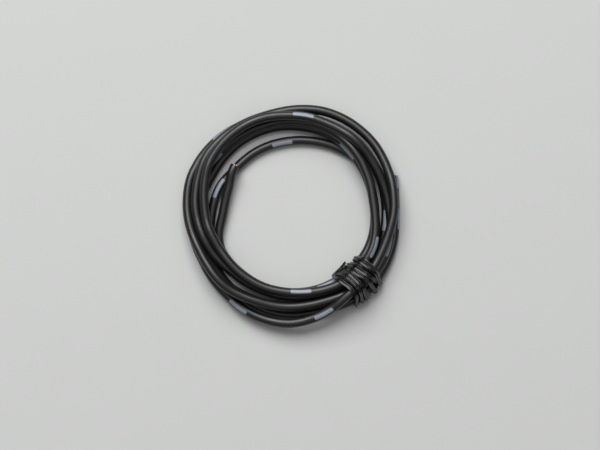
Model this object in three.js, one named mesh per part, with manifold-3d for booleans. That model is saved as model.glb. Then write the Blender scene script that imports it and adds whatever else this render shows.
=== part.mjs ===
// A coil of single-core automotive wire, lying flat and held by one twist tie.
// Millimetres, +Z up. The coil lies in the XY plane round the Z axis, and the floor is at the
// bottom of the group. Angles are in degrees, anticlockwise from +X as seen from above.
import * as THREE from "three";
import { mergeVertices } from "three/addons/utils/BufferGeometryUtils.js";
import Module from "manifold-3d";

const wasm = await Module();
wasm.setup();

// Wire
const WIRE_DIAMETER = 2.4; // over the insulation, 0.85 mm2 thin-wall wire
const CONDUCTOR_DIAMETER = 1.15; // the bundle of bare copper strands
const CONDUCTOR_CLEARANCE = 0.05; // between the strands and the insulation, on the radius
const WIRE_SIDES = 8;

// Coil: seven turns nested in three rows
const BORE_RADIUS = 19.3;
const FLOOR_ROW_TURNS = 4;
const RING_SEGMENTS = 48;
const RIDGE_STEP = 30; // degrees of a turn's round side for each flat of the profile
const RIDGE_REACH = 45; // how far the round side runs past the line to its neighbour
const SECTOR_STEPS = 10; // straight sides for each arc of a block that cuts the ring

// Free ends, and the notch in the ring that each one leaves from
const INNER_NOTCH_FROM = 176; // where the inner end is clear inside the bore
const OUTER_NOTCH_TO = 27; // past the cut of the outer end
const END_CLEARANCE = 0.3; // between the end of a stretch and the turn that it carries on
const NOTCH_CLEARANCE = 0.15; // beside and above a stretch that lies in its notch
const INNER_END_STEPS = 24;
const OUTER_END_STEPS = 9;

// Twist tie
const TIE_WIDTH = 1.55;
const TIE_THICKNESS = 0.55;
const TIE_PITCH = 1.75;
const TIE_TURNS = 5.5;
const TIE_ANGLE = 317; // middle of the winding
const TIE_CLEARANCE = 0.12;
const TIE_END_LIFT = 1.1; // how far each cut end stands off the bundle
const TIE_END_SHARE = 0.08; // share of a turn over which an end lifts
const TIE_STEPS_PER_TURN = 32;
const WAIST_SHARE = 0.83; // how far the tie pulls the turns together
const WAIST_MARGIN = 0.6; // free bundle on each side of the winding

// Worked out from the sizes above
const WIRE_RADIUS = WIRE_DIAMETER / 2;
const MID_RADIUS = BORE_RADIUS + FLOOR_ROW_TURNS * WIRE_RADIUS;
const INNER_TURN_RADIUS = BORE_RADIUS + WIRE_RADIUS;
const OUTER_TURN_RADIUS = MID_RADIUS + (FLOOR_ROW_TURNS - 1) * WIRE_RADIUS;
const WAIST_RIDGE_RADIUS = WIRE_RADIUS * WAIST_SHARE;
const WAIST_BASE = TIE_THICKNESS + 2 * TIE_CLEARANCE;
const TIE_SWEEP = THREE.MathUtils.radToDeg((TIE_TURNS * TIE_PITCH) / MID_RADIUS);
const WAIST_HALF_WIDTH = (TIE_TURNS * TIE_PITCH + TIE_WIDTH) / 2 + WAIST_MARGIN;
const WAIST_HALF_ANGLE = THREE.MathUtils.radToDeg(WAIST_HALF_WIDTH / MID_RADIUS);
const FAR_OUT = 2 * OUTER_TURN_RADIUS; // past the whole coil, for cutting pieces

const insulation = new THREE.MeshStandardMaterial({ color: 0x232425, roughness: 0.42, metalness: 0 });
const copper = new THREE.MeshStandardMaterial({ color: 0xc77b4a, roughness: 0.35, metalness: 1 });
const tieVinyl = new THREE.MeshStandardMaterial({ color: 0x17181a, roughness: 0.3, metalness: 0 });

// A closed three.js geometry as a solid that can be cut and joined
function solid(geometry) {
  const bare = geometry.clone();
  bare.deleteAttribute("normal");
  bare.deleteAttribute("uv");
  const merged = mergeVertices(bare, 1e-4);
  return new wasm.Manifold(
    new wasm.Mesh({
      numProp: 3,
      vertProperties: new Float32Array(merged.attributes.position.array),
      triVerts: new Uint32Array(merged.index.array),
    }),
  );
}

// A cut or joined solid as a three.js geometry again
function geometryOf(body) {
  const mesh = body.getMesh();
  const geometry = new THREE.BufferGeometry();
  geometry.setAttribute("position", new THREE.BufferAttribute(mesh.vertProperties, 3));
  geometry.setIndex(new THREE.BufferAttribute(mesh.triVerts, 1));
  geometry.computeVertexNormals();
  return geometry;
}

function named(name, geometry, material) {
  const mesh = new THREE.Mesh(geometry, material);
  mesh.name = name;
  return mesh;
}

// A point of the coil from its angle, its distance from the axis and its height
function coilPoint(degrees, radius, height) {
  const angle = THREE.MathUtils.degToRad(degrees);
  return new THREE.Vector3(radius * Math.cos(angle), radius * Math.sin(angle), height);
}

// Which way the outline of the bundle faces, in degrees from straight outwards
const DOWN = -90;
const OUT_AND_UP = 30;
const UP = 90;
const IN_AND_UP = 150;
const FULL_TURN = 360;

// The seven turns, in the order that the outline of the bundle meets them: how far across the
// bundle in wire diameters, which row, and which way the outline faces before and after the turn.
// The third turn on the floor shows twice, below and on its top. A corner is a turn that a belt
// pulled tight round the bundle touches.
const SECTION = [
  { across: -1.5, row: 0, from: IN_AND_UP - FULL_TURN, to: DOWN, corner: true },
  { across: -0.5, row: 0, from: DOWN, to: DOWN, corner: false },
  { across: 0.5, row: 0, from: DOWN, to: DOWN, corner: false },
  { across: 1.5, row: 0, from: DOWN, to: UP, corner: true },
  { across: 0.5, row: 0, from: UP, to: OUT_AND_UP, corner: false },
  { across: 0, row: 1, from: OUT_AND_UP, to: OUT_AND_UP, corner: false },
  { across: -0.5, row: 2, from: OUT_AND_UP, to: IN_AND_UP, corner: true },
  { across: -1, row: 1, from: IN_AND_UP, to: IN_AND_UP, corner: false },
];

// Where the middle of a turn is in the section, across the bundle and above the floor
function turnCentre({ across, row }, ridgeRadius, base) {
  return new THREE.Vector2(
    2 * across * ridgeRadius,
    base + ridgeRadius * (1 + Math.sqrt(3) * row),
  );
}

// A turned ring whose faces show the turns as rounded ridges
function ridgedRing(ridgeRadius, base) {
  const profile = [];
  for (const turn of SECTION) {
    const centre = turnCentre(turn, ridgeRadius, base);
    for (let a = turn.from - RIDGE_REACH; a <= turn.to + RIDGE_REACH; a += RIDGE_STEP) {
      const angle = THREE.MathUtils.degToRad(a);
      profile.push(
        new THREE.Vector2(
          MID_RADIUS + centre.x + ridgeRadius * Math.cos(angle),
          centre.y + ridgeRadius * Math.sin(angle),
        ),
      );
    }
  }
  profile.push(profile[0].clone());
  return solid(new THREE.LatheGeometry(profile, RING_SEGMENTS).rotateX(Math.PI / 2));
}

// A block between two angles, two radii and two heights, for cutting the ring
function sector(fromDegrees, toDegrees, innerRadius, outerRadius, bottom, top) {
  const from = THREE.MathUtils.degToRad(fromDegrees);
  const to = THREE.MathUtils.degToRad(toDegrees);
  const shape = new THREE.Shape();
  shape.absarc(0, 0, outerRadius, from, to, false);
  shape.absarc(0, 0, innerRadius, to, from, true);
  shape.closePath();
  const block = new THREE.ExtrudeGeometry(shape, {
    depth: top - bottom,
    bevelEnabled: false,
    curveSegments: SECTOR_STEPS,
  });
  return solid(block.translate(0, 0, bottom));
}

function polygon(radius, sides) {
  const corners = [];
  for (let i = 0; i < sides; i++) {
    const angle = ((i + 0.5) * 2 * Math.PI) / sides;
    corners.push(new THREE.Vector2(radius * Math.cos(angle), radius * Math.sin(angle)));
  }
  return corners;
}

// A stretch of insulation with its bore, and the copper that fills it, along one route
function freeStretch(points, steps) {
  const path = new THREE.CatmullRomCurve3(points, false, "centripetal");
  const wall = new THREE.Shape(polygon(WIRE_RADIUS, WIRE_SIDES));
  wall.holes.push(new THREE.Path(polygon(CONDUCTOR_DIAMETER / 2 + CONDUCTOR_CLEARANCE, WIRE_SIDES)));
  const core = new THREE.Shape(polygon(CONDUCTOR_DIAMETER / 2, WIRE_SIDES));
  return {
    wall: new THREE.ExtrudeGeometry(wall, { steps, extrudePath: path }),
    core: new THREE.ExtrudeGeometry(core, { steps, extrudePath: path }),
  };
}

// The inner end: its tip lies on the innermost lower turn, it comes down into the bore, and it
// joins that turn again. Each point is an angle, a distance inwards from that turn's centre line
// and a height, both in wire diameters.
const INNER_ROUTE = [
  [138.5, 0.54, 1.42],
  [142, 0.6, 1.38],
  [146, 0.73, 1.25],
  [150, 0.9, 1.02],
  [154, 1.05, 0.74],
  [158, 1.12, 0.56],
  [163, 1.17, 0.505],
  [168, 1.22, 0.5],
  [173, 1.2, 0.5],
  [178, 1.14, 0.5],
  [183, 1.0, 0.5],
  [188, 0.78, 0.5],
  [193, 0.53, 0.5],
  [198, 0.31, 0.5],
  [203, 0.17, 0.5],
  [206, 0.12, 0.5],
];

// The outer end: the outermost lower turn runs straight on and ends in a square cut. Each point
// is an angle, a distance outwards from that turn's centre line and a height, as above.
const OUTER_ROUTE = [
  [-17, -0.15, 0.5],
  [-12, -0.21, 0.5],
  [-7, -0.25, 0.5],
  [-2, -0.3, 0.5],
  [3, -0.3, 0.5],
  [8, -0.2, 0.5],
  [13, -0.02, 0.5],
  [18, 0.27, 0.5],
  [22, 0.56, 0.5],
];

function innerPoints() {
  return INNER_ROUTE.map(([angle, inwards, height]) =>
    coilPoint(angle, INNER_TURN_RADIUS - inwards * WIRE_DIAMETER, height * WIRE_DIAMETER),
  );
}

function outerPoints() {
  return OUTER_ROUTE.map(([angle, outwards, height]) =>
    coilPoint(angle, OUTER_TURN_RADIUS + outwards * WIRE_DIAMETER, height * WIRE_DIAMETER),
  );
}

// The angle that a gap of a given width takes at a turn
const gapAngle = (gap, radius) => THREE.MathUtils.radToDeg(gap / radius);

// The notch that leaves the innermost lower turn's place free for the inner end
function innerNotch() {
  const last = INNER_ROUTE[INNER_ROUTE.length - 1][0];
  return sector(
    INNER_NOTCH_FROM,
    last + gapAngle(END_CLEARANCE, INNER_TURN_RADIUS),
    BORE_RADIUS / 2,
    INNER_TURN_RADIUS + WIRE_RADIUS + NOTCH_CLEARANCE,
    -WIRE_DIAMETER,
    WIRE_DIAMETER + NOTCH_CLEARANCE,
  );
}

// The notch that leaves the outermost lower turn's place free for the outer end
function outerNotch() {
  const first = OUTER_ROUTE[0][0];
  const deepest = Math.min(...OUTER_ROUTE.map(([, outwards]) => outwards));
  return sector(
    first - gapAngle(END_CLEARANCE, OUTER_TURN_RADIUS),
    OUTER_NOTCH_TO,
    OUTER_TURN_RADIUS + deepest * WIRE_DIAMETER - WIRE_RADIUS - NOTCH_CLEARANCE,
    FAR_OUT,
    -WIRE_DIAMETER,
    WIRE_DIAMETER + NOTCH_CLEARANCE,
  );
}

// The seven turns as one ring, pulled in at the tie and notched for the two free ends
function wireCoil() {
  const waistBlock = (margin) =>
    sector(
      TIE_ANGLE - WAIST_HALF_ANGLE - margin,
      TIE_ANGLE + WAIST_HALF_ANGLE + margin,
      BORE_RADIUS / 2,
      FAR_OUT,
      -WIRE_DIAMETER,
      3 * WIRE_DIAMETER,
    );
  const waist = ridgedRing(WAIST_RIDGE_RADIUS, WAIST_BASE).intersect(waistBlock(1));
  return ridgedRing(WIRE_RADIUS, 0)
    .subtract(waistBlock(0))
    .add(waist)
    .subtract(innerNotch())
    .subtract(outerNotch());
}

// The line of the tie: round the bundle again and again, moving on by one pitch each turn
class TieLine extends THREE.Curve {
  constructor() {
    super();
    const reach = WAIST_RIDGE_RADIUS + TIE_CLEARANCE + TIE_THICKNESS / 2;
    const corners = SECTION.filter(({ corner }) => corner).map((turn) =>
      turnCentre(turn, WAIST_RIDGE_RADIUS, WAIST_BASE),
    );
    const facing = (from, to) => Math.atan2(from.x - to.x, to.y - from.y);
    this.loop = new THREE.Path();
    corners.forEach((corner, i) => {
      const before = corners[(i + corners.length - 1) % corners.length];
      const after = corners[(i + 1) % corners.length];
      this.loop.absarc(corner.x, corner.y, reach, facing(before, corner), facing(corner, after), false);
    });
    this.loop.closePath();
  }

  // Where the line is at a share t of its length, and which way is away from the bundle
  place(t) {
    const turned = t * TIE_TURNS;
    const along = turned % 1;
    const flat = this.loop.getPointAt(along);
    const tangent = this.loop.getTangentAt(along);
    const nearEnd = Math.min(turned, TIE_TURNS - turned) / TIE_END_SHARE;
    const lift = nearEnd < 1 ? TIE_END_LIFT * (1 - nearEnd) ** 2 : 0;
    const across = flat.x + tangent.y * lift;
    const height = flat.y - tangent.x * lift;
    const degrees = TIE_ANGLE + (t - 0.5) * TIE_SWEEP;
    const outwards = coilPoint(degrees, tangent.y, -tangent.x);
    return { point: coilPoint(degrees, MID_RADIUS + across, height), outwards };
  }

  getPoint(t, target = new THREE.Vector3()) {
    return target.copy(this.place(t).point);
  }

  // Frames that keep the ribbon flat on the bundle all the way round
  computeFrenetFrames(segments) {
    const frames = { tangents: [], normals: [], binormals: [] };
    for (let i = 0; i <= segments; i++) {
      const t = i / segments;
      const before = this.place(Math.max(0, t - 0.25 / segments)).point;
      const after = this.place(Math.min(1, t + 0.25 / segments)).point;
      const tangent = after.sub(before).normalize();
      const outwards = this.place(t).outwards;
      const binormal = new THREE.Vector3().crossVectors(tangent, outwards).normalize();
      frames.tangents.push(tangent);
      frames.binormals.push(binormal);
      frames.normals.push(new THREE.Vector3().crossVectors(binormal, tangent).normalize());
    }
    return frames;
  }

  getSpacedPoints(divisions) {
    return this.getPoints(divisions);
  }
}

function twistTie() {
  const half = { thick: TIE_THICKNESS / 2, wide: TIE_WIDTH / 2 };
  const section = new THREE.Shape([
    new THREE.Vector2(-half.thick, -half.wide),
    new THREE.Vector2(half.thick, -half.wide),
    new THREE.Vector2(half.thick, half.wide),
    new THREE.Vector2(-half.thick, half.wide),
  ]);
  const steps = Math.round(TIE_TURNS * TIE_STEPS_PER_TURN);
  return new THREE.ExtrudeGeometry(section, { steps, extrudePath: new TieLine() });
}

const innerEnd = freeStretch(innerPoints(), INNER_END_STEPS);
const outerEnd = freeStretch(outerPoints(), OUTER_END_STEPS);

const coil = new THREE.Group();
coil.add(
  named("wire_coil", geometryOf(wireCoil()), insulation),
  named("inner_end", innerEnd.wall, insulation),
  named("inner_conductor", innerEnd.core, copper),
  named("outer_end", outerEnd.wall, insulation),
  named("outer_conductor", outerEnd.core, copper),
  named("twist_tie", twistTie(), tieVinyl),
);

// The group's origin is the middle of the floor under the coil
const extent = new THREE.Box3().setFromObject(coil);
const middle = extent.getCenter(new THREE.Vector3());
coil.position.set(-middle.x, -middle.y, -extent.min.z);

const group = new THREE.Group();
group.add(coil);

export default group;
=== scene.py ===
# %% [markdown]
# A short automotive wire, coiled and tied.
#
# The real thing is about one metre of black single-core wire, wound by hand into a flat ring of
# seven turns and held by one twist tie. Both ends are cut and stay free. This lesson lays the
# wire, ties it, gives it its black vinyl skin with pale printed dashes, and lights it softly.
#
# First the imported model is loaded. It gives the place and the size of everything else. The coil's
# axis comes from the box of its ring: half the ring's depth in from its left side, because a notch
# for the wire's outer end leaves the right side short.

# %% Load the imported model
import math

import bpy
import numpy as np
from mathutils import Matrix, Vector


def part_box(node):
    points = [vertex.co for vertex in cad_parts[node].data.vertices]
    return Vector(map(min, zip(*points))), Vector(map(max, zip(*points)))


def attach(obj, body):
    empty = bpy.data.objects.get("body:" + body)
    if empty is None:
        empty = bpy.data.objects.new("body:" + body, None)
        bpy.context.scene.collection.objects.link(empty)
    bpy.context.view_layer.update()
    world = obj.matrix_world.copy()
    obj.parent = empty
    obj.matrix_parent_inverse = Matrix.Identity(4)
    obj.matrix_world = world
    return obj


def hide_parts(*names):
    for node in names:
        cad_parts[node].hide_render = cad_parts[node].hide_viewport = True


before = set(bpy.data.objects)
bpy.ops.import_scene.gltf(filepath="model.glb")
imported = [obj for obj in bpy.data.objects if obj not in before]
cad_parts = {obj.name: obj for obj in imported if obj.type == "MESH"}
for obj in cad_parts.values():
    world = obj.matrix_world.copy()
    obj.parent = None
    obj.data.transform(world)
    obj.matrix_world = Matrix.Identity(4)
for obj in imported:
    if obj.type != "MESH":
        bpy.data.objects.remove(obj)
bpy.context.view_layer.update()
ring_low, ring_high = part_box("wire_coil")
AXIS_X = ring_low.x + (ring_high.y - ring_low.y) / 2
print("the coil's axis stands at x =", round(AXIS_X * 1000, 3), "mm")

# %% [markdown]
# The camera.
#
# The photograph looks almost straight down, leaning back by a few degrees. A long lens keeps the
# turns from spreading with their height. The camera could be placed by eye, but here its width of
# view is worked out: the wire is 2.4 mm thick and 9.2 pixels wide in the picture, and that gives
# the real width that the 600 pixels take in.

# %% Place the camera
PICTURE_WIDTH = 600
PICTURE_HEIGHT = 450
METRES_PER_PIXEL = 0.000261
AXIS_PIXEL_X = 291
AXIS_PIXEL_Y = 216
CAMERA_ELEVATION = math.radians(84)
LENS_MM = 150
SENSOR_MM = 36

view_width = PICTURE_WIDTH * METRES_PER_PIXEL
CAMERA_DISTANCE = view_width * LENS_MM / SENSOR_MM
aim_right = (PICTURE_WIDTH / 2 - AXIS_PIXEL_X) * METRES_PER_PIXEL
aim_up = (AXIS_PIXEL_Y - PICTURE_HEIGHT / 2) * METRES_PER_PIXEL
picture_up = np.array([0, math.sin(CAMERA_ELEVATION), math.cos(CAMERA_ELEVATION)])
towards_camera = np.array([0, -math.cos(CAMERA_ELEVATION), math.sin(CAMERA_ELEVATION)])
aim = np.array([AXIS_X + aim_right, 0, 0]) + picture_up * aim_up

camera_data = bpy.data.cameras.new("camera")
camera_data.lens = LENS_MM
camera_data.sensor_width = SENSOR_MM
camera = bpy.data.objects.new("camera", camera_data)
camera.location = aim + towards_camera * CAMERA_DISTANCE
camera.rotation_euler = (math.pi / 2 - CAMERA_ELEVATION, 0, 0)
bpy.context.scene.collection.objects.link(camera)
bpy.context.scene.camera = camera
print("the camera stands", round(CAMERA_DISTANCE, 3), "m from the coil")

# %% [markdown]
# Where the wire runs.
#
# A hand-wound coil is never a neat spiral: each turn wanders, climbs over its neighbours and
# drops between them. One could draw such a tangle as a curve, point by point, but then turns
# cut through each other. Here each turn has a short list of places, chosen after measuring
# where its edges and its highlight lie in the photograph: its angle round the coil, the radius of
# its middle line in millimetres, and the layer it lies in, where 0 is on the table. The next step
# settles them on each other.
#
# The two free stretches, at the start and at the end, follow those of the solid model to within
# half a millimetre. They are counted from the innermost and the outermost turn in wire diameters.

# %% Places along each turn
WIRE = 0.0024
MM = 0.001
WIRE_MM = WIRE / MM
LAYER_RISE = math.sqrt(3) / 2
INNERMOST_TURN = 20.5
OUTERMOST_TURN = 27.7

INNER_ROUTE = [
    (138.7, 0.36, 1.42), (142, 0.46, 1.36), (146, 0.62, 1.24), (150, 0.83, 1.06),
    (154, 1.02, 0.85), (158, 1.12, 0.66), (163, 1.17, 0.53), (168, 1.22, 0.5),
    (173, 1.2, 0.5), (178, 1.14, 0.5), (183, 1.0, 0.5), (188, 0.78, 0.5),
    (193, 0.53, 0.5), (198, 0.31, 0.5), (203, 0.17, 0.5), (206, 0.12, 0.5),
]
OUTER_ROUTE = [
    (-17, -0.1, 0.5), (-12, -0.15, 0.5), (-7, -0.2, 0.5), (-2, -0.24, 0.5), (3, -0.22, 0.5),
    (8, -0.12, 0.5), (13, 0.02, 0.5), (18, 0.29, 0.5), (22.5, 0.52, 0.5),
]


def layer_of(height):
    """The layer that a height of so many wire diameters is in."""
    return (height - 0.5) / LAYER_RISE


inner_stretch = [
    (angle, INNERMOST_TURN - inwards * WIRE_MM, layer_of(height))
    for angle, inwards, height in INNER_ROUTE
]
outer_stretch = [
    (angle, OUTERMOST_TURN + outwards * WIRE_MM, layer_of(height))
    for angle, outwards, height in OUTER_ROUTE
]

TURNS = [
    [(215, 20.1, 0), (230, 19.8, 0), (245, 19.8, 0), (260, 19.9, 0), (275, 20.1, 0),
     (290, 20.5, 0), (300, 20.8, 0), (308, 21.0, 0.1), (315, 21.2, 0.4), (323, 21.6, 0.9),
     (331, 21.9, 1.1), (345, 22.0, 1.1), (0, 21.9, 1.1), (15, 22.0, 1.1), (30, 22.3, 1.1),
     (38, 22.6, 1.1), (46, 22.9, 1.1), (54, 23.2, 0.9), (62, 23.5, 0.5), (72, 23.6, 0),
     (85, 23.6, 0), (100, 23.7, 0), (120, 23.6, 0), (140, 23.4, 0)],
    [(152, 23.4, 0), (165, 23.7, 0), (178, 24.0, 0), (190, 24.4, 0.4), (200, 24.7, 0.9),
     (210, 24.8, 1.2), (220, 24.8, 1.8), (230, 24.6, 1.8), (240, 24.1, 1.1), (250, 23.9, 1),
     (260, 23.7, 0.7), (270, 23.5, 0.4), (280, 23.4, 0.1), (292, 23.6, 0), (302, 24.2, 0),
     (310, 25.2, 0), (317, 25.6, 0), (325, 25.2, 0), (335, 24.8, 0), (345, 24.7, 0),
     (0, 24.8, 0), (15, 25.1, 0), (30, 25.5, 0), (45, 25.65, 0), (52, 25.7, 0), (62, 25.55, 0),
     (75, 25.8, 0), (88, 26.2, 0), (100, 26.6, 0), (110, 26.8, 0), (120, 27.1, 0), (130, 27.5, 0)],
    [(142, 27.8, 0), (152, 27.9, 0), (162, 27.8, 0.2), (172, 27.3, 0.6), (182, 26.7, 0.9),
     (192, 26.0, 1), (202, 25.4, 1.3), (212, 25.2, 1.9), (222, 25.2, 2.6), (232, 24.9, 2.6),
     (242, 24.3, 2.1), (252, 23.9, 1.9), (262, 23.8, 1.7), (275, 23.7, 1.4), (288, 23.8, 1.2),
     (298, 24.2, 1.2), (308, 25.0, 1.1), (318, 25.9, 1), (328, 26.5, 1), (342, 26.6, 1),
     (352, 26.3, 1), (2, 25.9, 1), (12, 25.7, 1.3), (22, 25.6, 1.7), (35, 25.6, 2.1),
     (48, 25.7, 2.7), (60, 25.8, 2.6), (70, 25.9, 2.2), (80, 26.2, 2), (92, 26.3, 2),
     (105, 26.6, 2.1), (115, 26.6, 2.2), (125, 26.4, 2.1), (137, 26.0, 2)],
    [(150, 25.3, 2), (160, 24.2, 2), (170, 23.2, 1.5), (180, 22.4, 1.1), (190, 21.8, 1.2),
     (200, 21.0, 1.6), (210, 20.4, 2), (222, 20.1, 2.1), (235, 19.9, 2.1), (250, 19.9, 2.1),
     (262, 19.9, 2.1), (272, 20.1, 2.1), (282, 20.5, 1.9), (292, 21.1, 1.5), (302, 21.7, 1.4),
     (312, 22.1, 1.8), (322, 22.5, 2.1), (337, 22.8, 2.2), (348, 22.4, 2.2), (0, 21.9, 2.3),
     (12, 21.9, 2.3), (22, 22.4, 2.2), (30, 22.8, 2.1), (38, 23.4, 2.1), (46, 23.9, 2),
     (54, 24.3, 1.8), (62, 24.6, 1.4), (72, 24.8, 1), (90, 24.9, 1), (120, 24.9, 1),
     (138, 24.8, 1)],
    [(150, 25.2, 0.6), (158, 25.8, 0.1), (168, 26.0, 0), (180, 26.0, 0), (192, 25.7, 0.1),
     (205, 25.4, 0.5), (215, 25.3, 1), (225, 25.6, 1), (233, 26.2, 0.7), (240, 26.8, 0.3),
     (250, 27.4, 0.1), (260, 27.8, 0), (270, 27.9, 0), (280, 27.4, 0.2), (287, 26.9, 0.6),
     (294, 26.3, 1), (302, 25.6, 1.6), (312, 25.4, 2), (330, 25.4, 2), (342, 25.6, 2),
     (352, 26.1, 2.1), (0, 26.7, 2.1), (10, 27.2, 1.7), (20, 27.7, 1), (30, 28.2, 0.3),
     (40, 28.7, 0), (52, 28.9, 0), (64, 28.9, 0), (74, 28.65, 0), (82, 28.2, 0.3), (90, 27.7, 0.7),
     (98, 27.2, 1), (106, 26.8, 1.1), (116, 26.8, 1.1), (126, 27.0, 1), (136, 27.1, 1)],
    [(146, 27.0, 1), (155, 26.4, 1), (165, 25.7, 1.1), (175, 25.1, 1.1), (185, 24.3, 1.1),
     (195, 23.5, 1.1), (205, 22.7, 1.1), (215, 21.8, 1), (225, 21.1, 1), (237, 20.8, 1.1),
     (250, 20.7, 1.1), (265, 20.9, 1), (277, 21.2, 0.9), (288, 21.6, 0.9), (297, 22.2, 0.7),
     (306, 22.8, 0.3), (315, 23.0, 0), (324, 22.7, 0), (333, 22.2, 0), (345, 22.0, 0),
     (0, 21.9, 0), (15, 22.0, 0), (25, 22.3, 0), (35, 22.6, 0), (42, 22.6, 0), (50, 22.1, 0),
     (58, 21.5, 0), (66, 20.9, 0), (74, 20.4, 0), (82, 20.0, 0), (92, 19.6, 0), (105, 19.3, 0),
     (120, 19.1, 0), (133, 19.0, 0)],
    [(145, 19.2, 0), (155, 19.9, 0), (165, 20.3, 0), (175, 20.6, 0), (183, 21.0, 0),
     (191, 21.6, 0), (199, 22.4, 0), (206, 23.2, 0), (213, 24.0, 0), (221, 24.5, 0),
     (231, 24.6, 0), (241, 24.8, 0), (250, 25.2, 0), (260, 25.6, 0), (272, 25.8, 0),
     (284, 25.8, 0), (293, 26.1, 0), (300, 26.6, 0), (308, 27.3, 0), (317, 27.7, 0),
     (328, 27.6, 0)],
]
TURNS[0] = inner_stretch + TURNS[0]
TURNS[-1] = TURNS[-1] + outer_stretch
print("the route is given at", sum(len(turn) for turn in TURNS), "places")

# %% [markdown]
# Letting the turns settle.
#
# A coil of real wire finds its own shape: the turns press apart where they would overlap, rest on
# the table, and stay stiff along their length. A rigid-body simulation could do this, but it
# would also carry the turns away from the places that the photograph shows. So the same idea is
# written here in a few lines. First the route is cut into stations at the same angles in each
# turn. The tie runs under the wire too, so there the wire is held off the table.

# %% Stations along the route
STATIONS_PER_TURN = 144
TIE_FROM = 303
TIE_TO = 327
TIE_LIFT = 0.0008
TIE_LIFT_FADE = 32


def unrolled(turns):
    """The places of all turns in a row, with an angle that only grows."""
    rows = []
    for angle, radius, layer in [place for turn in turns for place in turn]:
        while rows and angle <= rows[-1][0]:
            angle += 360
        rows.append((angle, radius * MM, layer))
    return np.array(rows)


def smooth_through(keys, values, at):
    """Values on a smooth curve through the keys, with no overshoot to speak of."""
    gaps = np.diff(keys)
    slopes = np.diff(values) / gaps
    leaning = np.empty_like(values)
    leaning[1:-1] = (slopes[:-1] * gaps[1:] + slopes[1:] * gaps[:-1]) / (gaps[1:] + gaps[:-1])
    leaning[0] = slopes[0]
    leaning[-1] = slopes[-1]
    i = np.clip(np.searchsorted(keys, at) - 1, 0, len(gaps) - 1)
    t = (at - keys[i]) / gaps[i]
    start = (1 + 2 * t) * (1 - t) ** 2 * values[i] + t * (1 - t) ** 2 * gaps[i] * leaning[i]
    end = t * t * (3 - 2 * t) * values[i + 1] + t * t * (t - 1) * gaps[i] * leaning[i + 1]
    return start + end


def table_height(angle):
    """How far the underside of the lowest turn is off the table at an angle."""
    middle = (TIE_FROM + TIE_TO) / 2
    away = np.abs((angle - middle + 180) % 360 - 180) - (TIE_TO - TIE_FROM) / 2
    return TIE_LIFT * (0.5 + 0.5 * np.cos(np.pi * np.clip(away / TIE_LIFT_FADE, 0, 1)))


places = unrolled(TURNS)
count = 1 + int((places[-1, 0] - places[0, 0]) * STATIONS_PER_TURN / 360)
station_angle = places[0, 0] + np.arange(count) * 360 / STATIONS_PER_TURN
planned_radius = smooth_through(places[:, 0], places[:, 1], station_angle)
planned_layer = smooth_through(places[:, 0], places[:, 2], station_angle)
planned_height = WIRE / 2 + table_height(station_angle) + planned_layer * WIRE * LAYER_RISE
print(count, "stations on", round((places[-1, 0] - places[0, 0]) / 360, 2), "turns")

# %% [markdown]
# Moving the stations.
#
# One could part the overlaps in order, turn by turn, but each push makes the next overlap. So all
# stations move a little, many times over. Each is pulled towards its own place, its bends are
# smoothed, and any two turns nearer than one wire diameter are pushed apart. They give way upwards
# more than sideways, since their neighbours hold them at the sides. The last few rounds only push,
# so hardly any overlap is left.

# %% Settle the turns
ROUNDS = 900
LOOSE_ROUNDS = 890
HOME_PULL = 0.12
LAYER_PULL = 0.015
SINK = 0.00001
STIFFNESS = 0.25
STIFF_PASSES = 24
SPACING = WIRE * 1.002
SIDEWAYS_GIVE = 0.12
MOST_PUSH = 1.5
NO_DISTANCE = 1e-9
NO_GIVE = 1e-12


def relaxed(deviation):
    """The deviations of neighbours drawn together, as a stiff wire does."""
    out = deviation.copy()
    for _ in range(STIFF_PASSES):
        out[1:-1] += STIFFNESS * (out[:-2] - 2 * out[1:-1] + out[2:])
    return out


def home_radius(angle, radius, height):
    """The radius at which a place of this height shows where the photograph has it."""
    nearer = 1 - height / CAMERA_DISTANCE
    across = radius * np.cos(angle) * nearer
    up = radius * np.sin(angle) * nearer - height * math.cos(CAMERA_ELEVATION)
    return across * np.cos(angle) + up / math.sin(CAMERA_ELEVATION) * np.sin(angle)


def part_overlaps(radius, height, lowest):
    """Push apart any two turns that are nearer than one diameter at the same station."""
    for apart in range(STATIONS_PER_TURN, len(radius), STATIONS_PER_TURN):
        first = slice(0, len(radius) - apart)
        second = slice(apart, len(radius))
        outwards = radius[second] - radius[first]
        upwards = height[second] - height[first]
        distance = np.maximum(np.hypot(outwards, upwards), NO_DISTANCE)
        lacking = np.maximum(SPACING - distance, 0) * distance
        give = SIDEWAYS_GIVE * outwards**2 + upwards**2
        push = np.minimum(lacking / np.maximum(give, NO_GIVE), MOST_PUSH) / 2
        radius[first] -= push * SIDEWAYS_GIVE * outwards
        radius[second] += push * SIDEWAYS_GIVE * outwards
        height[first] -= push * upwards
        height[second] += push * upwards
    np.maximum(height, lowest, out=height)


turned = np.radians(station_angle)
lowest = WIRE / 2 + table_height(station_angle)
radius = planned_radius.copy()
height = planned_height.copy()
for step in range(ROUNDS):
    if step < LOOSE_ROUNDS:
        radius += HOME_PULL * (home_radius(turned, planned_radius, height) - radius)
        height += LAYER_PULL * (planned_height - height) - SINK
        radius = planned_radius + relaxed(radius - planned_radius)
        height = relaxed(height)
    part_overlaps(radius, height, lowest)
    part_overlaps(radius, height, lowest)

# %% Measure the settled wire
centres = np.stack([AXIS_X + radius * np.cos(turned), radius * np.sin(turned), height], axis=1)
steps = np.linalg.norm(np.diff(centres, axis=0), axis=1)
along = np.concatenate([[0], np.cumsum(steps)])
off_home = np.abs(radius - home_radius(turned, planned_radius, height)) / MM
highest = (height.max() + WIRE / 2) / MM
print("the wire is", round(along[-1], 4), "m long and", round(highest, 2), "mm high")
print("it lies", round(off_home.mean(), 2), "mm from its places, at most", round(off_home.max(), 2))

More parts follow.
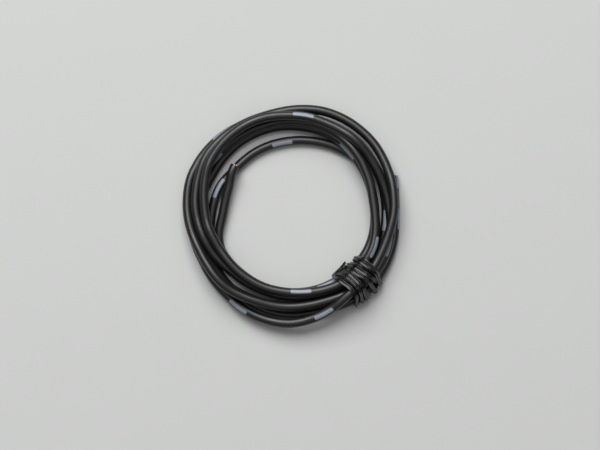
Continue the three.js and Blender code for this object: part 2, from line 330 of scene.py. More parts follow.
# %% [markdown]
# A mesh swept along a line.
#
# The wire, its copper strands and the tie are all one section carried along a line. A curve
# object with a bevel would do for a plain wire, but the printed dashes need to know how far along
# and how far round each point is, and the cut ends need a hollow. So the mesh is made ring by
# ring. At each station three directions are kept: forwards along the wire, up, and out.

# %% Directions and swept meshes
SHARP_EDGE = math.radians(50)


def unit(vectors):
    """The same directions with a length of one."""
    return vectors / np.linalg.norm(vectors, axis=-1, keepdims=True)


def directions(line):
    """Forwards, up and out at each point of a line that lies more or less flat."""
    forwards = unit(np.gradient(line, axis=0))
    up = np.array([0, 0, 1]) - forwards * forwards[:, 2:3]
    up = unit(up)
    return forwards, up, np.cross(forwards, up)


def swept(name, rings):
    """A closed mesh through rings of points, with a point in the middle of each end."""
    rings = np.asarray(rings)
    many, sides = rings.shape[:2]
    middles = [rings[:1].mean(axis=1), rings[-1:].mean(axis=1)]
    points = np.concatenate([rings.reshape(-1, 3), *middles])
    ring = np.arange(many - 1)[:, None] * sides
    here = ring + np.arange(sides)
    after = ring + (np.arange(sides) + 1) % sides
    walls = np.stack([here, after, after + sides, here + sides], axis=-1).reshape(-1, 4)
    start = many * sides
    last = start - sides
    caps = [(start, (k + 1) % sides, k) for k in range(sides)]
    caps += [(start + 1, last + k, last + (k + 1) % sides) for k in range(sides)]
    mesh = bpy.data.meshes.new(name)
    mesh.from_pydata(points.tolist(), [], walls.tolist() + caps)
    mesh.shade_smooth()
    mesh.set_sharp_from_angle(angle=SHARP_EDGE)
    return mesh


def give_points(mesh, name, values):
    """Store one number, or three, at each point of a mesh, for a material to read."""
    values = np.asarray(values, dtype=np.float32)
    kind, part = ("FLOAT", "value") if values.ndim == 1 else ("FLOAT_VECTOR", "vector")
    mesh.attributes.new(name, kind, "POINT").data.foreach_set(part, values.ravel())


def piece(name, mesh):
    """A new object that rides with the part."""
    made = bpy.data.objects.new(name, mesh)
    bpy.context.scene.collection.objects.link(made)
    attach(made, "root")
    return made


# %% [markdown]
# The wire.
#
# Cut wire shows a flat ring of vinyl round its copper. A plain tube with a disc on each end would
# do from far off, but then the copper has nothing to stand in. So the section grows from a small
# hollow inside the end, out over the cut face, round a fine edge and on along the skin, and the
# same in reverse at the other end. All of it is one closed mesh.

# %% Sweep the wire
WIRE_SIDES = 28
BORE = 0.00118
HOLLOW = 0.0022
CUT_EDGE = 0.00006
forwards, up, out = directions(centres)
round_the_wire = np.linspace(0, 2 * np.pi, WIRE_SIDES, endpoint=False)


def section(at, ring_radius):
    """A ring of the wire's skin at a distance along it."""
    def there(values):
        return np.array([np.interp(at, along, values[:, k]) for k in range(3)])
    turned_up = np.cos(round_the_wire)[:, None] * there(up)
    turned_out = np.sin(round_the_wire)[:, None] * there(out)
    return there(centres) + ring_radius * (turned_up + turned_out)


end = along[-1]
profile = [(HOLLOW, BORE / 2), (0, BORE / 2), (0, WIRE / 2 - CUT_EDGE), (CUT_EDGE, WIRE / 2)]
body = [(at, WIRE / 2) for at in along[1:-1]]
profile += body + [(end - at, size) for at, size in reversed(profile)]
rings = [section(at, size) for at, size in profile]
wire_mesh = swept("wire", rings)
wire = piece("wire", wire_mesh)
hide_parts("wire_coil", "inner_end", "outer_end")
print("the wire has", len(wire_mesh.polygons), "faces")

# %% [markdown]
# The printed line.
#
# The print needs two numbers at each point: how far it is along from the middle of the nearest
# dash, and how squarely it faces the printed line. The line slowly rolls round the wire, so each
# dash that shows is written down with its turn, its angle round the coil and its own roll, in
# degrees outwards from straight up. Between those the dashes go on at the same pitch, on the
# underside.

# %% Where each dash is
DASH_PITCH = 0.0235
UNDERSIDE = 180
SHOWN_DASHES = [
    (1, 297.5, -20), (1, 48, -32), (2, 356.5, -10), (2, 51.3, 60), (2, 130.5, 34),
    (3, 341.5, 11), (3, 82.8, 18), (4, 277.3, -14), (4, 337.5, 40), (5, 144.5, -33),
    (5, 240.5, 30), (5, 288.5, 14), (6, 97, -24), (7, 159.5, 12), (7, 358, 58), (7, 19.8, 55),
]


def distance_along(turn, angle):
    """How far along the wire a place of one of its turns is."""
    full = angle + 360 * (turn - 1) + (360 if angle < station_angle[0] else 0)
    return float(np.interp(full, station_angle, along))


def all_dashes():
    """The middle and the roll of each dash: those that show, and the hidden ones between."""
    shown = sorted((distance_along(turn, angle), roll) for turn, angle, roll in SHOWN_DASHES)
    dashes = list(shown)
    edges = [(-DASH_PITCH, 0)] + shown + [(end + DASH_PITCH, 0)]
    for (before, _), (after, _) in zip(edges[:-1], edges[1:]):
        gaps = max(1, round((after - before) / DASH_PITCH))
        for k in range(1, gaps):
            dashes.append((before + (after - before) * k / gaps, UNDERSIDE))
    return np.array(sorted(dashes))


dashes = all_dashes()
ring_along = np.array([at for at, _ in profile])
nearest = np.abs(ring_along[:, None] - dashes[None, :, 0]).argmin(axis=1)
dash_distance = np.abs(ring_along - dashes[nearest, 0])
roll = np.radians(dashes[nearest, 1])
facing = np.cos(round_the_wire[None, :] - roll[:, None])
straight = np.stack(
    [
        np.repeat(ring_along, WIRE_SIDES),
        np.tile(np.cos(round_the_wire), len(profile)) * WIRE / 2,
        np.tile(np.sin(round_the_wire), len(profile)) * WIRE / 2,
    ],
    axis=1,
)
tips = np.array([[0, 0, 0], [end, 0, 0]])
away = np.ones(2)
give_points(wire_mesh, "straight_wire", np.concatenate([straight, tips]))
dash_distance = np.repeat(dash_distance, WIRE_SIDES)
give_points(wire_mesh, "dash_distance", np.concatenate([dash_distance, away]))
give_points(wire_mesh, "print_facing", np.concatenate([facing.ravel(), -away]))
print(len(dashes), "dashes, of which", len(SHOWN_DASHES), "show in the picture")

# %% [markdown]
# The copper.
#
# Automotive wire is stranded: nineteen thin bare wires, one in the middle, six round it and
# twelve round those. Only the cut ends show. A painted disc would do from far off, but the
# strands catch the light one by one, so each is a thin swept rod with a rounded tip. The bundle
# has a slow twist, and the tips end at slightly different places, as cutters leave them.

# %% The strands at both ends
STRAND = 0.00023
STRAND_SIDES = 8
STANDS_OUT = 0.00028
INSIDE = 0.002
LAY_TURN = math.radians(25)
UNEVEN = 0.00012
UNEVEN_STEP = 2.4
TIP_SHAPE = [(-INSIDE, 0.96), (-INSIDE / 2, 1), (-0.0001, 1), (-0.00003, 0.8), (0, 0.4)]


def strand_places():
    """The middle of each strand across the bundle: one, six and twelve."""
    spots = [(0.0, 0.0)]
    for ring, many in ((1, 6), (2, 12)):
        for k in range(many):
            here = k // ring * math.pi / 3
            following = (k // ring + 1) * math.pi / 3
            corner = np.array([math.cos(here), math.sin(here)])
            next_corner = np.array([math.cos(following), math.sin(following)])
            share = (k % ring) / ring
            spots.append(tuple((corner * (1 - share) + next_corner * share) * ring * STRAND))
    return spots


def strand_bundle(name, face, outwards, side):
    """The strands that end at a cut face and stand out of it a little."""
    side = unit(side - outwards * (side @ outwards))
    other = np.cross(outwards, side)
    meshes = []
    for k, (right, far) in enumerate(strand_places()):
        reach_out = STANDS_OUT + UNEVEN * math.sin(k * UNEVEN_STEP)
        rings = []
        for back, fullness in TIP_SHAPE:
            twist = LAY_TURN * back / INSIDE
            to_side = right * math.cos(twist) - far * math.sin(twist)
            to_other = right * math.sin(twist) + far * math.cos(twist)
            middle = face + outwards * (reach_out + back) + side * to_side + other * to_other
            angle = np.linspace(0, 2 * np.pi, STRAND_SIDES, endpoint=False)[:, None]
            edge = np.cos(angle) * side + np.sin(angle) * other
            rings.append(middle + edge * STRAND / 2 * fullness)
        meshes.append(swept(name, rings))
    return joined(name, meshes)


def joined(name, meshes):
    """Several meshes in one."""
    points = []
    faces = []
    for mesh in meshes:
        first = len(points)
        points += [tuple(v.co) for v in mesh.vertices]
        faces += [tuple(first + i for i in face.vertices) for face in mesh.polygons]
        bpy.data.meshes.remove(mesh)
    whole = bpy.data.meshes.new(name)
    whole.from_pydata(points, [], faces)
    whole.shade_smooth()
    return whole


inner_strands = piece(
    "inner_strands", strand_bundle("inner_strands", centres[0], -forwards[0], out[0])
)
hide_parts("inner_conductor")
outer_strands = piece(
    "outer_strands", strand_bundle("outer_strands", centres[-1], forwards[-1], out[-1])
)
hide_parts("outer_conductor")
print("each end shows", len(strand_places()), "strands")

# %% [markdown]
# The twist tie.
#
# A twist tie is a thin film of vinyl over a soft iron core, so its section is flat with a rib
# down the middle. This one goes round all seven turns nearly six times. Its windings lean on each
# other like shingles, one tail stands up inside the coil and the other outside.
#
# A tie could be wound round a plain ellipse, but it would then float over some turns and cut
# into others. Real film spans from turn to turn like a belt. So at each angle the belt round the
# seven round sections is worked out, and the tie follows it.

# %% The belt round the turns
BELT_SWEEP = 84
BELT_STEP = 2
TIE_OFF_WIRE = 0.00022
TIE_REACH = WIRE / 2 + TIE_OFF_WIRE


def turns_at(angle):
    """The radius and the height of every turn of the wire at an angle round the coil."""
    at = np.arange(angle, station_angle[-1], 360)
    at = at[at >= station_angle[0]]
    return np.stack([np.interp(at, station_angle, values) for values in (radius, height)], axis=1)


def belt_point(angle, winding):
    """A point of the belt and the direction it faces, as radius and height.

    winding counts turns of the tie: 0 faces the middle of the coil, a quarter faces up and a half
    faces outwards.
    """
    discs = turns_at(angle)
    middle = (discs.max(axis=0) + discs.min(axis=0)) / 2
    looking = math.pi - 2 * math.pi * winding
    ray = np.array([math.cos(looking), math.sin(looking)])
    turn = looking + np.radians(np.arange(-BELT_SWEEP, BELT_SWEEP + 1, BELT_STEP))
    facing_way = np.stack([np.cos(turn), np.sin(turn)], axis=1)
    support = (facing_way @ (discs - middle).T).max(axis=1) + TIE_REACH
    reach = support / (facing_way @ ray)
    best = reach.argmin()
    return middle + ray * reach[best], facing_way[best]


# %% [markdown]
# Winding the tie.
#
# An even helix would be the shortest way to write it, but a tie that was twisted on by hand
# bunches up and crosses itself. So each winding is written down as how far round the belt it has
# come and at which angle round the coil it lies there. The two tails leave the belt, so they are
# places: an angle, a radius and a height in millimetres.

# %% The tie's windings
TIE_START_TAIL = [(318.4, 18.95, 4.8), (315.5, 19.1, 4.6), (312, 19.2, 4.2), (308.4, 19.2, 3.6)]
TIE_WINDINGS = [
    (0.02, 304.4), (0.12, 306.4), (0.25, 308.6), (0.38, 308.7), (0.5, 306.9), (0.75, 307.6),
    (1, 309), (1.12, 311.6), (1.25, 312.1), (1.5, 310.2), (1.75, 311.2),
    (2, 312.4), (2.12, 314.6), (2.25, 314.9), (2.5, 312.9), (2.75, 314.2),
    (3, 316.1), (3.12, 317.4), (3.25, 318.4), (3.5, 318.4), (3.75, 318.6),
    (4, 318.8), (4.12, 320.6), (4.25, 321.2), (4.5, 322.6), (4.75, 323.6),
    (5, 325.8), (5.12, 326.1), (5.25, 325.4), (5.5, 322.9),
]
TIE_END_TAIL = [(321.0, 29.0, 3.4), (319.1, 28.9, 2.9), (318.1, 29.4, 2.5), (317.1, 29.9, 2.2)]
WINDING_STEP = 0.02
TIE_STEP = 0.00035
SHINGLE_LIFT = 0.00026


def round_coil(angle, radius_there, height_there):
    """A place given by its angle round the coil, its radius and its height."""
    turn = math.radians(angle)
    return [AXIS_X + radius_there * math.cos(turn), radius_there * math.sin(turn), height_there]


def facing_round_coil(angle, outwards, upwards):
    """A direction given by its angle round the coil and its outward and upward parts."""
    turn = math.radians(angle)
    return [outwards * math.cos(turn), outwards * math.sin(turn), upwards]


def tie_line():
    """The tie's middle line and the way it faces, from one tail to the other."""
    windings = np.array([w for w, _ in TIE_WINDINGS])
    angles = np.array([a for _, a in TIE_WINDINGS])
    points = [round_coil(a, r * MM, h * MM) for a, r, h in TIE_START_TAIL]
    faces = [facing_round_coil(a, -1, 0) for a, _, _ in TIE_START_TAIL]
    for winding in np.arange(windings[0], windings[-1], WINDING_STEP):
        angle = float(smooth_through(windings, angles, np.array([winding]))[0])
        place, face = belt_point(angle, winding)
        place = place + face * SHINGLE_LIFT
        points.append(round_coil(angle, place[0], place[1]))
        faces.append(facing_round_coil(angle, face[0], face[1]))
    points += [round_coil(a, r * MM, h * MM) for a, r, h in TIE_END_TAIL]
    faces += [facing_round_coil(a, 1, 0) for a, _, _ in TIE_END_TAIL]
    return np.array(points), np.array(faces)


def evenly(line, others, step):
    """A line and what goes with it, with points an even step apart."""
    lengths = np.linalg.norm(np.diff(line, axis=0), axis=1)
    reached = np.concatenate([[0], np.cumsum(lengths)])
    at = np.linspace(0, reached[-1], int(reached[-1] / step) + 1)
    def sampled(values):
        return np.stack([np.interp(at, reached, values[:, k]) for k in range(3)], axis=1)
    return at, sampled(line), sampled(others)


tie_places, tie_faces = tie_line()
tie_at, tie_middle, tie_facing = evenly(tie_places, tie_faces, TIE_STEP)
print("the tie is", round(tie_at[-1] / MM), "mm long")

# %% [markdown]
# Leaning the windings.
#
# Laid flat, windings this close would cut into each other. So at each step the tie's section faces
# away from the wire, and leans over by about twenty degrees to lie on the winding before. Two slow
# waves make it a little more here and a little less there, as where fingers have pressed it down.

# %% Lean the windings on each other
MIDDLE_EASING = 6
FACING_EASING = 12
SHINGLE = 20
LEAN_WAVES = [(5, 0.0023, 0), (4, 0.0009, 1)]


def eased(values, rounds):
    """Points drawn towards their neighbours a few times, with both ends kept."""
    values = values.copy()
    for _ in range(rounds):
        values[1:-1] += 0.5 * ((values[:-2] + values[2:]) / 2 - values[1:-1])
    return values


tie_middle = eased(tie_middle, MIDDLE_EASING)
tie_facing = unit(eased(tie_facing, FACING_EASING))
tie_forwards = unit(np.gradient(tie_middle, axis=0))
tie_side = unit(np.cross(tie_forwards, tie_facing))
tie_facing = np.cross(tie_side, tie_forwards)
waves = sum(size * np.sin(tie_at / length + start) for size, length, start in LEAN_WAVES)
lean = np.radians(SHINGLE + waves)
leaning_side = np.cos(lean)[:, None] * tie_side + np.sin(lean)[:, None] * tie_facing
leaning_face = np.cos(lean)[:, None] * tie_facing - np.sin(lean)[:, None] * tie_side
least, most = np.degrees([lean.min(), lean.max()]).round()
print("it leans by", least, "to", most, "degrees")

# %% [markdown]
# The tie's section.
#
# A plain strip with a bump for the core would look the same from far off, but its outline would
# stay flat. So the section is modelled: film above and below, a rib over the core, and edges that
# curl up by turns. Where the tie runs under the coil it is pressed flat on the table.

# %% Sweep the tie
ACROSS = np.array([-1, -0.85, -0.62, -0.42, -0.27, -0.12, 0, 0.12, 0.27, 0.42, 0.62, 0.85, 1])
TIE_HALF_WIDTH = 0.00092
FILM = 0.00017
FILM_EDGE = 0.02
RIB = 0.00034
RIB_WIDTH = 0.0003
RIB_BELOW = 0.5
CURL = 0.00011
CURL_WAVE = 0.0031
PRESSED = 0.00003


def tie_rings():
    """The tie's section at each step, with nothing below the table's surface."""
    across = ACROSS * TIE_HALF_WIDTH
    rib = RIB * np.exp(-((across / RIB_WIDTH) ** 2))
    film = FILM / 2 * np.sqrt(1 + FILM_EDGE - ACROSS**6)
    rings = []
    for k in range(len(tie_at)):
        curl = CURL * (1 + math.sin(tie_at[k] / CURL_WAVE)) * ACROSS**2
        above = film + rib + curl
        below = -film - rib * RIB_BELOW + curl
        top = tie_middle[k] + across[:, None] * leaning_side[k] + above[:, None] * leaning_face[k]
        base = tie_middle[k] + across[:, None] * leaning_side[k] + below[:, None] * leaning_face[k]
        rings.append(np.concatenate([top, base[::-1]]))
    rings = np.array(rings)
    rings[..., 2] = np.maximum(rings[..., 2], PRESSED)
    return rings


tie_mesh = swept("tie", tie_rings())
tie = piece("tie", tie_mesh)
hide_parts("twist_tie")
tie_sides = 2 * len(ACROSS)
tie_flat = np.concatenate([ACROSS, ACROSS[::-1]]) * TIE_HALF_WIDTH
tie_along = np.repeat(tie_at, tie_sides)
tie_across = np.tile(tie_flat, len(tie_at))
tie_straight = np.stack([tie_along, tie_across, np.zeros(len(tie_along))], axis=1)
tie_ends = np.array([[0, 0, 0], [tie_at[-1], 0, 0]])
give_points(tie_mesh, "straight_tie", np.concatenate([tie_straight, tie_ends]))
print("the tie has", len(tie_mesh.polygons), "faces")

# %% [markdown]
# What the wire is.
#
# The wire isn't plugged into anything, so both its ends are bare cuts. The strands and the tie
# move with it, as they hang from the same parent.

# %% [markdown]
# Helpers for materials.
#
# Every finish here is made of nodes, with no pictures. Each could be set up line by line, but a
# small helper that makes a node and joins its inputs lets a material read as a list of steps.

# %% Node helpers
def node(tree, kind, inputs=(), **settings):
    """A node with its settings, whose inputs are numbers, colours or other nodes' outputs."""
    made = tree.nodes.new(kind)
    for name, value in settings.items():
        setattr(made, name, value)
    for socket, value in dict(inputs).items():
        if isinstance(value, bpy.types.NodeSocket):
            tree.links.new(value, made.inputs[socket])
        else:
            made.inputs[socket].default_value = value
    return made


def new_material(name):
    """An empty material with its Principled shader joined to the output."""
    material = bpy.data.materials.new(name)
    material.use_nodes = True
    tree = material.node_tree
    tree.nodes.clear()
    shader = tree.nodes.new("ShaderNodeBsdfPrincipled")
    output = tree.nodes.new("ShaderNodeOutputMaterial")
    tree.links.new(shader.outputs["BSDF"], output.inputs["Surface"])
    return material, tree, shader


def group_of(name, inputs, outputs):
    """An empty shader node group with named inputs and outputs."""
    group = bpy.data.node_groups.new(name, "ShaderNodeTree")
    for label, kind, value in inputs:
        socket = group.interface.new_socket(label, in_out="INPUT", socket_type=kind)
        if value is not None:
            socket.default_value = value
    for label, kind in outputs:
        group.interface.new_socket(label, in_out="OUTPUT", socket_type=kind)
    entry = group.nodes.new("NodeGroupInput")
    leaving = group.nodes.new("NodeGroupOutput")
    return group, entry, leaving


def placed(tree, group, inputs=()):
    """A group placed in a material with its own values."""
    return node(tree, "ShaderNodeGroup", inputs, node_tree=group)


# %% [markdown]
# Handling marks, for more than one finish.
#
# Handled things have faint smudges and fine dust, and glossy black ones show them first. Smudges
# change the gloss or the colour of the wire, the tie and the copper, and dust shows on the wire.
# Painted pictures could do it, but one node group with a place and two sizes serves all three.
# The place comes in from outside, because each piece measures its own.

# %% A group for handling marks
NUMBER = "NodeSocketFloat"
VECTOR = "NodeSocketVector"


def handling_marks():
    """Soft smudges and sparse dust, as two masks."""
    group, entry, leaving = group_of(
        "handling marks",
        [("Place", VECTOR, None), ("Smudge Size", NUMBER, 120), ("Dust Size", NUMBER, 2400)],
        [("Smudge", NUMBER), ("Dust", NUMBER)],
    )
    smudge = node(
        group, "ShaderNodeTexNoise",
        {"Vector": entry.outputs["Place"], "Scale": entry.outputs["Smudge Size"], "Detail": 3},
    )
    speck = node(
        group, "ShaderNodeTexNoise",
        {"Vector": entry.outputs["Place"], "Scale": entry.outputs["Dust Size"], "Detail": 1},
    )
    sparse = node(
        group, "ShaderNodeMapRange",
        {"Value": speck.outputs["Fac"], "From Min": 0.68, "From Max": 0.76},
    )
    group.links.new(smudge.outputs["Fac"], leaving.inputs["Smudge"])
    group.links.new(sparse.outputs["Result"], leaving.inputs["Dust"])
    return group


marks = handling_marks()

# %% [markdown]
# A grain that runs along a drawn thing.
#
# Vinyl pushed through a die keeps fine streaks along its length. A noise that is stretched along
# the wire gives them, as a very low bump, which breaks the edge of the highlight without showing
# as lines. Hardly stretched and coarser, the same group gives the creases of the tie's film.

# %% A group for drawn streaks
def drawn_streaks():
    """A height that streaks along the first axis of the place it is given."""
    group, entry, leaving = group_of(
        "drawn streaks",
        [("Place", VECTOR, None), ("Fineness", NUMBER, 3000), ("Stretch", NUMBER, 0.04)],
        [("Height", NUMBER)],
    )
    stretch = node(
        group, "ShaderNodeCombineXYZ", {"X": entry.outputs["Stretch"], "Y": 1, "Z": 1}
    )
    place = node(
        group, "ShaderNodeVectorMath",
        {0: entry.outputs["Place"], 1: stretch.outputs["Vector"]}, operation="MULTIPLY",
    )
    grain = node(
        group, "ShaderNodeTexNoise",
        {"Vector": place.outputs["Vector"], "Scale": entry.outputs["Fineness"], "Detail": 2},
    )
    group.links.new(grain.outputs["Fac"], leaving.inputs["Height"])
    return group


streaks = drawn_streaks()

# %% [markdown]
# Black vinyl with printed dashes.
#
# The skin is soft PVC: black right through, with a satin sheen that gives each turn one broad
# grey highlight. The dashes are thin pale ink. A picture of the print could be wrapped round the
# wire, but two distances make a cleaner edge: along the wire from the middle of the dash, and
# across it. A dash is where both are small, with its corners rounded off.

# %% The printed dash
DASH_HALF_LENGTH = 0.0027
DASH_HALF_WIDTH = 0.00052
DASH_CORNER = 0.0003
INK_EDGE = 0.00012


def dash_mask(tree):
    """White inside each printed dash."""
    along_it = node(tree, "ShaderNodeAttribute", attribute_name="dash_distance")
    facing_it = node(tree, "ShaderNodeAttribute", attribute_name="print_facing")
    rolled = node(tree, "ShaderNodeMath", {0: facing_it.outputs["Fac"]}, operation="ARCCOSINE")
    across_it = node(
        tree, "ShaderNodeMath", {0: rolled.outputs[0], 1: WIRE / 2}, operation="MULTIPLY"
    )
    past = []
    for distance, limit in (
        (along_it.outputs["Fac"], DASH_HALF_LENGTH - DASH_CORNER),
        (across_it.outputs[0], DASH_HALF_WIDTH - DASH_CORNER),
    ):
        beyond = node(tree, "ShaderNodeMath", {0: distance, 1: limit}, operation="SUBTRACT")
        past.append(node(tree, "ShaderNodeMath", {0: beyond.outputs[0], 1: 0}, operation="MAXIMUM"))
    corner = node(
        tree, "ShaderNodeCombineXYZ", {"X": past[0].outputs[0], "Y": past[1].outputs[0], "Z": 0}
    )
    reach = node(tree, "ShaderNodeVectorMath", {0: corner.outputs[0]}, operation="LENGTH")
    return node(
        tree, "ShaderNodeMapRange",
        {
            "Value": reach.outputs["Value"],
            "From Min": DASH_CORNER + INK_EDGE / 2,
            "From Max": DASH_CORNER - INK_EDGE / 2,
        },
    ).outputs["Result"]


# %% The vinyl skin
VINYL_BLACK = (0.008, 0.008, 0.0075, 1)
VINYL_DUSTY = (0.05, 0.05, 0.047, 1)
INK = (0.25, 0.285, 0.34, 1)


def vinyl_skin():
    """Satin black vinyl with pale dashes, faint smudges and dust."""
    material, tree, shader = new_material("black_vinyl")
    place = node(tree, "ShaderNodeAttribute", attribute_name="straight_wire").outputs["Vector"]
    mark = placed(tree, marks, {"Place": place, "Smudge Size": 160, "Dust Size": 3200})
    grain = placed(tree, streaks, {"Place": place, "Fineness": 2600, "Stretch": 0.05})
    ink = dash_mask(tree)
    worn = node(
        tree, "ShaderNodeTexNoise", {"Vector": place, "Scale": 2500, "Detail": 2}
    ).outputs["Fac"]
    kept = node(
        tree, "ShaderNodeMapRange",
        {"Value": worn, "From Min": 0.3, "From Max": 0.45, "To Min": 0.7},
    )
    inked = node(tree, "ShaderNodeMath", {0: ink, 1: kept.outputs["Result"]}, operation="MULTIPLY")
    dusty = node(
        tree, "ShaderNodeMix", {0: mark.outputs["Dust"], 6: VINYL_BLACK, 7: VINYL_DUSTY},
        data_type="RGBA",
    )
    colour = node(
        tree, "ShaderNodeMix", {0: inked.outputs[0], 6: dusty.outputs[2], 7: INK}, data_type="RGBA"
    )
    tree.links.new(colour.outputs[2], shader.inputs["Base Color"])
    gloss = node(
        tree, "ShaderNodeMapRange",
        {
            "Value": mark.outputs["Smudge"], "From Min": 0.3, "From Max": 0.7,
            "To Min": 0.34, "To Max": 0.42,
        },
    )
    tree.links.new(gloss.outputs["Result"], shader.inputs["Roughness"])
    bump = node(
        tree, "ShaderNodeBump",
        {"Height": grain.outputs["Height"], "Strength": 0.25, "Distance": 0.00003},
    )
    tree.links.new(bump.outputs["Normal"], shader.inputs["Normal"])
    shader.inputs["Specular IOR Level"].default_value = 0.6
    return material


vinyl = vinyl_skin()
wire.data.materials.append(vinyl)
print("the vinyl skin has", len(vinyl.node_tree.nodes), "nodes")

# %% [markdown]
# Bare copper.
#
# Freshly cut copper is a warm orange metal, and a little oxide makes some patches darker and
# duller. One flat colour would read as paint, so the soft smudges choose between a bright and a
# dull copper.

# %% The copper strands
COPPER_BRIGHT = (0.93, 0.5, 0.31, 1)
COPPER_DULL = (0.5, 0.2, 0.09, 1)


def bare_copper():
    """Bright drawn copper with patches of thin oxide."""
    material, tree, shader = new_material("bare_copper")
    place = node(tree, "ShaderNodeTexCoord").outputs["Object"]
    mark = placed(tree, marks, {"Place": place, "Smudge Size": 1500, "Dust Size": 6000})
    oxide = node(
        tree, "ShaderNodeMapRange",
        {"Value": mark.outputs["Smudge"], "From Min": 0.35, "From Max": 0.65},
    )
    colour = node(
        tree, "ShaderNodeMix", {0: oxide.outputs["Result"], 6: COPPER_BRIGHT, 7: COPPER_DULL},
        data_type="RGBA",
    )
    tree.links.new(colour.outputs[2], shader.inputs["Base Color"])
    gloss = node(
        tree, "ShaderNodeMapRange",
        {"Value": oxide.outputs["Result"], "To Min": 0.25, "To Max": 0.5},
    )
    tree.links.new(gloss.outputs["Result"], shader.inputs["Roughness"])
    shader.inputs["Metallic"].default_value = 1
    return material


copper = bare_copper()
inner_strands.data.materials.append(copper)
outer_strands.data.materials.append(copper)
print("the copper has", len(copper.node_tree.nodes), "nodes")

# %% [markdown]
# The tie's film.
#
# The film is thinner and glossier than the wire's skin, and it is creased where it was bent, so
# its highlights break up. Creases could be modelled, but they are finer than the mesh. A bump
# gives them, on top of the curl and the rib that the mesh already has.

# %% The tie's vinyl
FILM_BLACK = (0.005, 0.005, 0.0055, 1)
FILM_RUBBED = (0.05, 0.05, 0.052, 1)


def tie_film():
    """Glossy black film with creases and rubbed spots."""
    material, tree, shader = new_material("tie_film")
    place = node(tree, "ShaderNodeAttribute", attribute_name="straight_tie").outputs["Vector"]
    mark = placed(tree, marks, {"Place": place, "Smudge Size": 700, "Dust Size": 3000})
    crease = placed(tree, streaks, {"Place": place, "Fineness": 500, "Stretch": 0.7})
    rubbed = node(
        tree, "ShaderNodeMapRange",
        {"Value": mark.outputs["Smudge"], "From Min": 0.5, "From Max": 0.8},
    )
    colour = node(
        tree, "ShaderNodeMix", {0: rubbed.outputs["Result"], 6: FILM_BLACK, 7: FILM_RUBBED},
        data_type="RGBA",
    )
    tree.links.new(colour.outputs[2], shader.inputs["Base Color"])
    gloss = node(
        tree, "ShaderNodeMapRange", {"Value": mark.outputs["Smudge"], "To Min": 0.2, "To Max": 0.3}
    )
    tree.links.new(gloss.outputs["Result"], shader.inputs["Roughness"])
    shader.inputs["Specular IOR Level"].default_value = 0.32
    bump = node(
        tree, "ShaderNodeBump",
        {"Height": crease.outputs["Height"], "Strength": 0.35, "Distance": 0.0001},
    )
    tree.links.new(bump.outputs["Normal"], shader.inputs["Normal"])
    return material


tie_skin = tie_film()
tie.data.materials.append(tie_skin)
print("the tie's film has", len(tie_skin.node_tree.nodes), "nodes")

# %% [markdown]
# The table.
#
# The coil lies on a plain pale sheet with no edge in view. A curved backdrop would do as well, but
# the camera looks down, so one large plane fills the view. It is matt, with a mottling too faint
# to see as a pattern, and lies a hair under the coil.

# %% The pale sheet
SHEET_SIZE = 1.6
SHEET_BELOW = 0.00002
SHEET_PALE = (0.6, 0.61, 0.6, 1)
SHEET_SHADE = (0.585, 0.595, 0.585, 1)


def pale_sheet():
    """A large plane with a plain matt finish, at table height."""
    half = SHEET_SIZE / 2
    mesh = bpy.data.meshes.new("sheet")
    corners = [(-half, -half, 0), (half, -half, 0), (half, half, 0), (-half, half, 0)]
    mesh.from_pydata(corners, [], [(0, 1, 2, 3)])
    sheet = bpy.data.objects.new("sheet", mesh)
    sheet.location.z = -SHEET_BELOW
    bpy.context.scene.collection.objects.link(sheet)
    material, tree, shader = new_material("pale_sheet")
    place = node(tree, "ShaderNodeTexCoord").outputs["Object"]
    mottle = node(tree, "ShaderNodeTexNoise", {"Vector": place, "Scale": 90, "Detail": 4})
    colour = node(
        tree, "ShaderNodeMix", {0: mottle.outputs["Fac"], 6: SHEET_PALE, 7: SHEET_SHADE},
        data_type="RGBA",
    )
    tree.links.new(colour.outputs[2], shader.inputs["Base Color"])
    shader.inputs["Roughness"].default_value = 0.9
    mesh.materials.append(material)
    return sheet


sheet = pale_sheet()
print("the sheet is", SHEET_SIZE, "m wide")

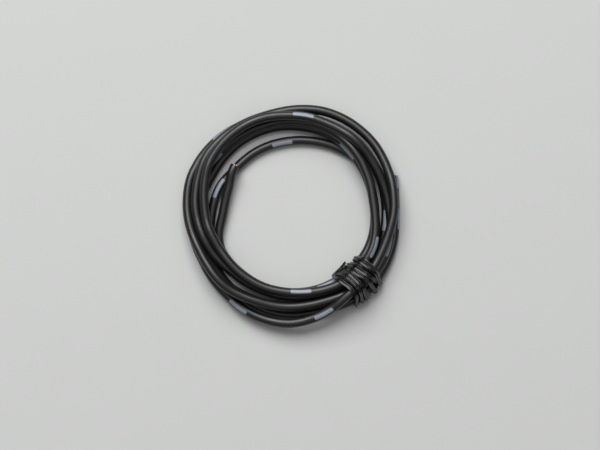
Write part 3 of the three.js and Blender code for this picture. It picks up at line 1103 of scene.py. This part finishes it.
# %% [markdown]
# The light.
#
# In the photograph the shade falls softly towards the bottom, just right of it, and every turn
# has one broad highlight with nearly black flanks. So there is a large soft light high behind the
# top of the picture, and a room that is pale overhead and dark at the sides. An area light gives
# the first. The second is a world that grows brighter upwards. One even world would be simpler,
# but it would also light the flanks of the turns, and black vinyl would look grey.

# %% Lights
LIGHT_SIZE = 0.85
LIGHT_POWER = 14.8
LIGHT_DISTANCE = 1.2
LIGHT_ELEVATION = math.radians(54)
LIGHT_TURN = math.radians(107)
ROOM_SIDES = 0.03
ROOM_OVERHEAD = 0.55
ROOM_FROM = 0.35
ROOM_TO = 0.98


def soft_light(name, turn, elevation, distance, size, power):
    """A square soft light that looks at the coil."""
    light = bpy.data.lights.new(name, "AREA")
    light.shape = "SQUARE"
    light.size = size
    light.energy = power
    holder = bpy.data.objects.new(name, light)
    level = math.cos(elevation) * distance
    upwards = math.sin(elevation) * distance
    holder.location = (level * math.cos(turn), level * math.sin(turn), upwards)
    holder.rotation_euler = (0, math.pi / 2 - elevation, turn)
    bpy.context.scene.collection.objects.link(holder)
    return holder


def pale_room():
    """A world that is dark at the sides and pale overhead."""
    world = bpy.data.worlds.new("pale_room")
    world.use_nodes = True
    tree = world.node_tree
    way = node(tree, "ShaderNodeTexCoord").outputs["Generated"]
    upwards = node(tree, "ShaderNodeSeparateXYZ", {"Vector": way})
    glow = node(
        tree, "ShaderNodeMapRange",
        {
            "Value": upwards.outputs["Z"], "From Min": ROOM_FROM, "From Max": ROOM_TO,
            "To Min": ROOM_SIDES, "To Max": ROOM_OVERHEAD,
        },
        interpolation_type="SMOOTHSTEP",
    )
    tree.links.new(glow.outputs["Result"], tree.nodes["Background"].inputs["Strength"])
    tree.nodes["Background"].inputs["Color"].default_value = (1, 1, 1, 1)
    return world


soft_light("window", LIGHT_TURN, LIGHT_ELEVATION, LIGHT_DISTANCE, LIGHT_SIZE, LIGHT_POWER)
bpy.context.scene.world = pale_room()
bpy.context.scene.view_settings.view_transform = "Standard"
print("the light stands", LIGHT_DISTANCE, "m away and gives", LIGHT_POWER, "W")
